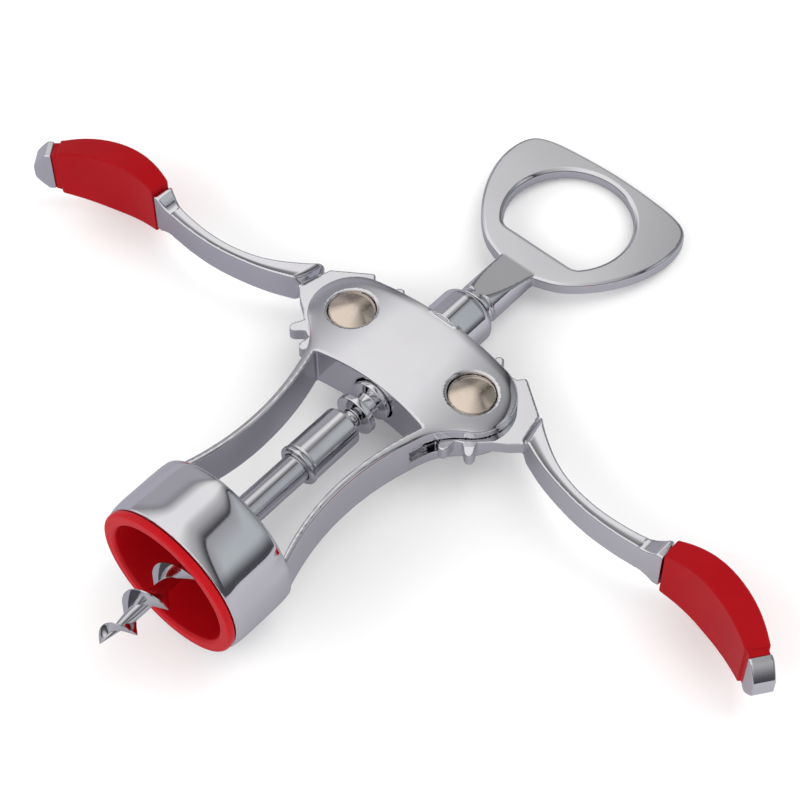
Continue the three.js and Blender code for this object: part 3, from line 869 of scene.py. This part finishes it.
def worm_shank():
    """The worm's shank, and the core that tapers to its point."""
    profile = rounded_profile([
        (0, WORM_HIGH.y), (SHANK_RADIUS, WORM_HIGH.y), (SHANK_RADIUS, SHANK_END_Y),
        (WORM_CORE, SHANK_END_Y - 4), (WORM_CORE, WORM_LOW.y + 9), (0.02, WORM_LOW.y),
    ][::-1], 0.8)
    turned("worm_shank", profile, STEEL, "screw", "bright_steel", "worm", segments=64)


def blade_ring(along, y, turn):
    """Section of the blade at one place, which is smaller near its two ends."""
    fade = min(1, along * 9 + 0.2, (1 - along) * 4.5 + 0.1)
    reach = WORM_CORE + (BLADE_REACH - WORM_CORE) * fade
    inner = 0.6 * min(1, (1 - along) * 6 + 0.1)
    half = [(inner, 2.1), (reach * 0.6, 1.25), (reach, 0.16)]
    ring = [(r, h * fade) for r, h in half] + [(r, -h * fade) for r, h in half[::-1]]
    return [(r * math.cos(turn), y + h, r * math.sin(turn)) for r, h in ring]


def worm_blade():
    """The helical blade, with a sharp edge."""
    blade_end = WORM_LOW.y + 0.6
    steps = round((BLADE_TOP_Y - blade_end) / BLADE_PITCH * BLADE_STEPS)
    points, faces = [], []
    for i in range(steps + 1):
        along = i / steps
        y = BLADE_TOP_Y + (blade_end - BLADE_TOP_Y) * along
        points += blade_ring(along, y, 2 * math.pi * (i / BLADE_STEPS + BLADE_PHASE))
    size = len(points) // (steps + 1)
    for i in range(steps):
        for j in range(size):
            k = (j + 1) % size
            a, b = i * size, (i + 1) * size
            faces.append([a + j, b + j, b + k, a + k])
    faces.append(list(range(size))[::-1])
    faces.append([steps * size + j for j in range(size)])
    mesh = bpy.data.meshes.new("worm_blade")
    mesh.from_pydata(to_row(points).tolist(), [], faces)
    smooth_faces(place("worm_blade", mesh, STEEL, "screw", "bright_steel"), 30)


# ---------------------------------------------------------------- build

def build_frame():
    """The casting and the red liner in its bell."""
    low = (FRAME_LOW.x, FRAME_LOW.y, -BELL_RADIUS)
    high = (FRAME_HIGH.x, FRAME_HIGH.y, BELL_RADIUS)
    casting("frame_casting", frame_solid(), low, high, FRAME_CELL, CHROME, "frame",
            "chrome_casting", "body_frame")
    turned("bell_cup", liner_profile(), RED_LINER, "frame", "red_liner", "bell_liner",
           closed=True)


def rivet_head_profile():
    """A pin under a flat dome."""
    crown = RIVET_HIGH.z - RIVET_Z - 0.9
    dome = [(RIVET_HEAD_RADIUS * t, RIVET_Z + 0.5 + crown * (1 - t**2.4))
            for t in np.linspace(1, 0, 20)]
    return [(PIN_RADIUS, -4), (PIN_RADIUS, RIVET_Z), (RIVET_HEAD_RADIUS - 0.2, RIVET_Z),
            (RIVET_HEAD_RADIUS, RIVET_Z + 0.15), *dome]


def rivet_back_profile():
    """A washer with the peened end of the pin in its middle, upside down."""
    rows = [
        (RIVET_END_RADIUS, RIVET_Z), (RIVET_HEAD_RADIUS, RIVET_Z),
        (RIVET_HEAD_RADIUS, RIVET_Z + 0.5), (RIVET_HEAD_RADIUS * 0.8, RIVET_Z + 1.0),
        (RIVET_END_RADIUS, RIVET_Z + 1.25), (2.0, RIVET_Z + 1.0), (0, RIVET_Z + 0.9),
    ]
    return [(r, -z) for r, z in rows][::-1]


def build_rivet(side, sign):
    """Domed head and peened back of one wing's pivot."""
    centre = (sign * PIVOT_X, 0)
    turned(f"{side}_rivet_head", rivet_head_profile(), NICKEL, "frame", "nickel_rivet",
           f"{side}_pivot_rivet", centre=centre, segments=96)
    turned(f"{side}_rivet_back", rivet_back_profile(), NICKEL, "frame", "nickel_rivet",
           f"{side}_rivet_collar", centre=centre, segments=96)


def build_wing(side, sign):
    """Lever, grip and cap of one wing."""
    body = f"{side}_wing"
    casting(f"{side}_wing_lever", lever_solid(), (3, -14.6, -LAND_HALF),
            (GRIP_START, 14.6, LAND_HALF), PART_CELL, CHROME, body, "chrome_casting",
            f"{side}_lever", side=sign)
    casting(f"{side}_wing_grip", grip_solid(), (GRIP_START, -16, -GRIP_HALF),
            (104, 1.5, GRIP_HALF), PART_CELL, RED_GRIP, body, "red_grip", f"{side}_grip",
            side=sign)
    casting(f"{side}_wing_cap", cap_solid(), (98, -19, -LAND_HALF), (108, -7, LAND_HALF),
            CAP_CELL, CHROME, body, "chrome_casting", f"{side}_end_cap", side=sign)


def build_ring_handle():
    """The ring, and the cross pin in its neck."""
    low = (HANDLE_LOW.x, HANDLE_LOW.y, -NECK_RADIUS)
    high = (HANDLE_HIGH.x, HANDLE_HIGH.y, NECK_RADIUS)
    casting("ring_handle", ring_solid(), low, high, PART_CELL, CHROME, "screw",
            "chrome_casting", "opener_handle")
    pin = frame["nodes"]["handle_pin"].data
    pin.materials.clear()
    pin.materials.append(STEEL)


def build_spindle():
    """Rack, rod, ferrule and worm, on the spindle's axis."""
    turned("round_rack", rack_profile(), CHROME, "slider", "chrome_turned", "rack", segments=96)
    rod = [(ROD_RADIUS, WORM_HIGH.y + 0.3), (ROD_RADIUS, NECK_Y + 8)]
    turned("inner_rod", rod, STEEL, "screw", "bright_steel", "spindle_rod", segments=64)
    turned("ferrule_sleeve", ferrule_profile(), SATIN_CHROME, "screw", "chrome_turned", "ferrule",
           segments=96)
    worm_shank()
    worm_blade()


# ---------------------------------------------------------------- studio

CAMERA_AZIMUTH = math.radians(41.83)
CAMERA_ELEVATION = math.radians(53.64)
CAMERA_ROLL = math.radians(-0.16)
CAMERA_TARGET = (4.59, -8.8, 0)
CAMERA_DISTANCE = 0.47081
CAMERA_SENSOR = 36
CAMERA_LENS = 97.92


def build_camera():
    """Long lens from the front right, above the worm's end."""
    level = math.cos(CAMERA_ELEVATION)
    back = Vector((math.sin(CAMERA_AZIMUTH) * level, -math.cos(CAMERA_AZIMUTH) * level,
                   math.sin(CAMERA_ELEVATION)))
    data = bpy.data.cameras.new("camera")
    data.sensor_width = CAMERA_SENSOR
    data.lens = CAMERA_LENS
    camera = bpy.data.objects.new("camera", data)
    bpy.context.scene.collection.objects.link(camera)
    stand = Matrix.Translation(Vector(to_row(CAMERA_TARGET)) + back * CAMERA_DISTANCE)
    aim = (-back).to_track_quat("-Z", "Y").to_matrix().to_4x4()
    camera.matrix_world = stand @ aim @ Matrix.Rotation(CAMERA_ROLL, 4, "Z")
    bpy.context.scene.camera = camera


# The table: white to the eye, and in polished metal a painted reflection, a grey that lightens from
# left to right.
TABLE_WHITE = (0.97, 0.97, 0.97)
FLOOR_LEFT_PAINTED_REFLECTION = (0.35, 0.345, 0.395)
FLOOR_RIGHT_PAINTED_REFLECTION = (0.445, 0.44, 0.475)
FLOOR_LEFT = -0.06
FLOOR_RIGHT = 0.05
FLOOR_SIZE = 3.0
FLOOR_SQUARES = 8
FLOOR_GAP = 0.0001


def floor_mesh():
    """A flat square sheet of smaller squares."""
    row = FLOOR_SQUARES + 1
    points = [(FLOOR_SIZE * (i / FLOOR_SQUARES - 0.5), FLOOR_SIZE * (j / FLOOR_SQUARES - 0.5), 0)
              for j in range(row) for i in range(row)]
    faces = [(j * row + i, j * row + i + 1, (j + 1) * row + i + 1, (j + 1) * row + i)
             for j in range(FLOOR_SQUARES) for i in range(FLOOR_SQUARES)]
    mesh = bpy.data.meshes.new("table_top")
    mesh.from_pydata(points, [], faces)
    return mesh


def table_white():
    """Matt white to the eye; glossy rays get the painted reflection greys above instead, lighter to
    the right.
    """
    m = Nodes("table_white")
    glossy_ray = m.add("ShaderNodeLightPath").outputs["Is Glossy Ray"]
    place_at = m.add("ShaderNodeTexCoord").outputs["Object"]
    across = m.add("ShaderNodeSeparateXYZ", Vector=place_at).outputs["X"]
    shift = m.remap(across, FLOOR_LEFT, FLOOR_RIGHT)
    # Painted reflection: for glossy rays the white is swapped for a grey that lightens from left to
    # right.
    painted_reflection = m.colour(shift, FLOOR_LEFT_PAINTED_REFLECTION, FLOOR_RIGHT_PAINTED_REFLECTION)
    m.set(m.shader.inputs["Base Color"], m.colour(glossy_ray, TABLE_WHITE, painted_reflection))
    m.shader.inputs["Roughness"].default_value = 0.9
    m.shader.inputs["Specular IOR Level"].default_value = 0.1
    return m.material


def build_floor():
    """A table top that touches the bell's side and the ring's far edge, so it leans a little."""
    bell = to_row((0, BELL_TOP_Y, -BELL_RADIUS))
    ring = to_row((0, RING_END_Y - 1.5, -RING_HALF))
    run, climb = ring[1] - bell[1], ring[2] - bell[2]
    lean = math.atan2(climb, run)
    mesh = floor_mesh()
    floor = bpy.data.objects.new("table_top", mesh)
    bpy.context.scene.collection.objects.link(floor)
    touch = Matrix.Translation(Vector(bell) - Vector((0, 0, FLOOR_GAP)))
    floor.matrix_world = touch @ Matrix.Rotation(lean, 4, "X")
    mesh.materials.append(table_white())


# The studio as polished metal shows it: stops of brightness across the room, from the left wall over
# the soft light and a dark gap to the grey right half. One unit is half the light's width.
ROOM = [
    (-1.25, (0.40, 0.39, 0.43)), (-0.95, (0.29, 0.29, 0.31)), (-0.42, (0.92, 0.905, 0.91)),
    (0.36, (0.92, 0.905, 0.91)), (0.65, (0.66, 0.655, 0.66)), (0.92, (0.50, 0.50, 0.51)),
    (1.2, (0.41, 0.41, 0.42)), (1.85, (0.06, 0.06, 0.065)), (1.95, (0.05, 0.05, 0.055)),
    (2.05, (0.36, 0.36, 0.38)), (2.6, (0.43, 0.435, 0.455)), (3.2, (0.51, 0.54, 0.56)),
]
ROOM_SPAN = 4.0
LIGHT_X = -0.4
LIGHT_HALF = 0.789
LIGHT_NARROWING = 1.3
LIGHT_LEAST = 0.12
FAR_START, FAR_END, FAR_DIM = 0.43, 0.64, 0.54
BAND_TOP, BAND_BASE = 0.50, 0.12
BAND_FACING = (0.55, 0.83)
BAND_START, BAND_END = -0.15, 0.10
BAND_COLOUR = (0.07, 0.07, 0.08)
BELOW_COLOUR = (0.47, 0.46, 0.53)
WALL_LOW, WALL_HIGH = 0.55, 0.85
WALL_LIGHT = (1.55, 1.55, 1.55)
CEILING_LIGHT = (0.30, 0.30, 0.30)


def build_world():
    """Bright walls that light the table, and for reflections a studio with one soft light
    overhead, which narrows and dims towards the ring's end, and a dark band low down in front and
    on the right."""
    world = bpy.data.worlds.new("studio")
    bpy.context.scene.world = world
    world.use_nodes = True
    tree = world.node_tree
    tree.nodes.clear()

    def add(kind, **settings):
        node = tree.nodes.new(kind)
        for key, value in settings.items():
            setattr(node, key, value)
        return node

    def link(value, socket):
        if isinstance(value, (int, float, tuple)):
            socket.default_value = value
        else:
            tree.links.new(value, socket)

    def calc(operation, first, second=0.0):
        node = add("ShaderNodeMath", operation=operation)
        link(first, node.inputs[0])
        link(second, node.inputs[1])
        return node.outputs[0]

    def step(value, start, end):
        node = add("ShaderNodeMapRange", interpolation_type="SMOOTHSTEP")
        link(value, node.inputs["Value"])
        node.inputs["From Min"].default_value = start
        node.inputs["From Max"].default_value = end
        return node.outputs["Result"]

    def mix(factor, first, second):
        node = add("ShaderNodeMix", data_type="RGBA")
        link(factor, node.inputs["Factor"])
        for value, key in ((first, "A"), (second, "B")):
            link((*value, 1) if isinstance(value, tuple) else value, node.inputs[key])
        return node.outputs["Result"]

    direction = add("ShaderNodeSeparateXYZ")
    link(add("ShaderNodeTexCoord").outputs["Generated"], direction.inputs[0])
    x, y, z = (direction.outputs[i] for i in range(3))

    narrowed = calc("SUBTRACT", LIGHT_HALF, calc("MULTIPLY", y, LIGHT_NARROWING))
    across = calc("DIVIDE", calc("ADD", x, -LIGHT_X), calc("MAXIMUM", narrowed, LIGHT_LEAST))
    ramp = add("ShaderNodeValToRGB")
    link(calc("ADD", calc("DIVIDE", across, 2 * ROOM_SPAN), 0.5), ramp.inputs["Fac"])
    stops = ramp.color_ramp.elements
    for _ in ROOM[2:]:
        stops.new(1.0)
    for stop, (place_at, colour) in zip(stops, ROOM):
        stop.position = place_at / (2 * ROOM_SPAN) + 0.5
        stop.color = (*colour, 1)
    far_end = calc("MULTIPLY", step(y, FAR_START, FAR_END), FAR_DIM)
    room = mix(far_end, ramp.outputs["Color"], (0.0, 0.0, 0.0))
    to_right = calc("MULTIPLY", x, BAND_FACING[0])
    to_front = calc("MULTIPLY", y, BAND_FACING[1])
    facing = step(calc("SUBTRACT", to_right, to_front), BAND_START, BAND_END)
    low = calc("MULTIPLY", step(z, BAND_TOP, BAND_BASE), facing)
    room = mix(low, room, BAND_COLOUR)
    room = mix(step(z, 0.01, -0.01), room, BELOW_COLOUR)

    walls = mix(step(z, WALL_LOW, WALL_HIGH), WALL_LIGHT, CEILING_LIGHT)
    glossy = add("ShaderNodeLightPath").outputs["Is Glossy Ray"]
    background = add("ShaderNodeBackground")
    link(mix(glossy, walls, room), background.inputs["Color"])
    link(background.outputs[0], add("ShaderNodeOutputWorld").inputs["Surface"])


# Name, place, side and power of the lamps, in metres and watts.
LAMPS = (
    ("front", (-0.45, -1.1, 0.75), 1.1, 4.0),
    ("overhead", (0.30, 0.35, 1.1), 0.8, 5.0),
)


def build_lights():
    """Large soft lights: a faint one low in front, and one overhead, behind on the right."""
    for name, place_at, size, power in LAMPS:
        data = bpy.data.lights.new(name, "AREA")
        data.shape = "SQUARE"
        data.size = size
        data.energy = power
        light = bpy.data.objects.new(name, data)
        bpy.context.scene.collection.objects.link(light)
        light.location = place_at
        aim = Vector(to_row((0, 0, 0))) - light.location
        light.rotation_mode = "QUATERNION"
        light.rotation_quaternion = aim.to_track_quat("-Z", "Y")
        light.visible_glossy = False


build_camera()
build_floor()
build_world()
build_lights()
build_frame()
for side, sign in (("left", -1), ("right", 1)):
    build_rivet(side, sign)
for side, sign in (("left", -1), ("right", 1)):
    build_wing(side, sign)
build_spindle()
build_ring_handle()
bpy.context.scene.view_settings.view_transform = "Standard"
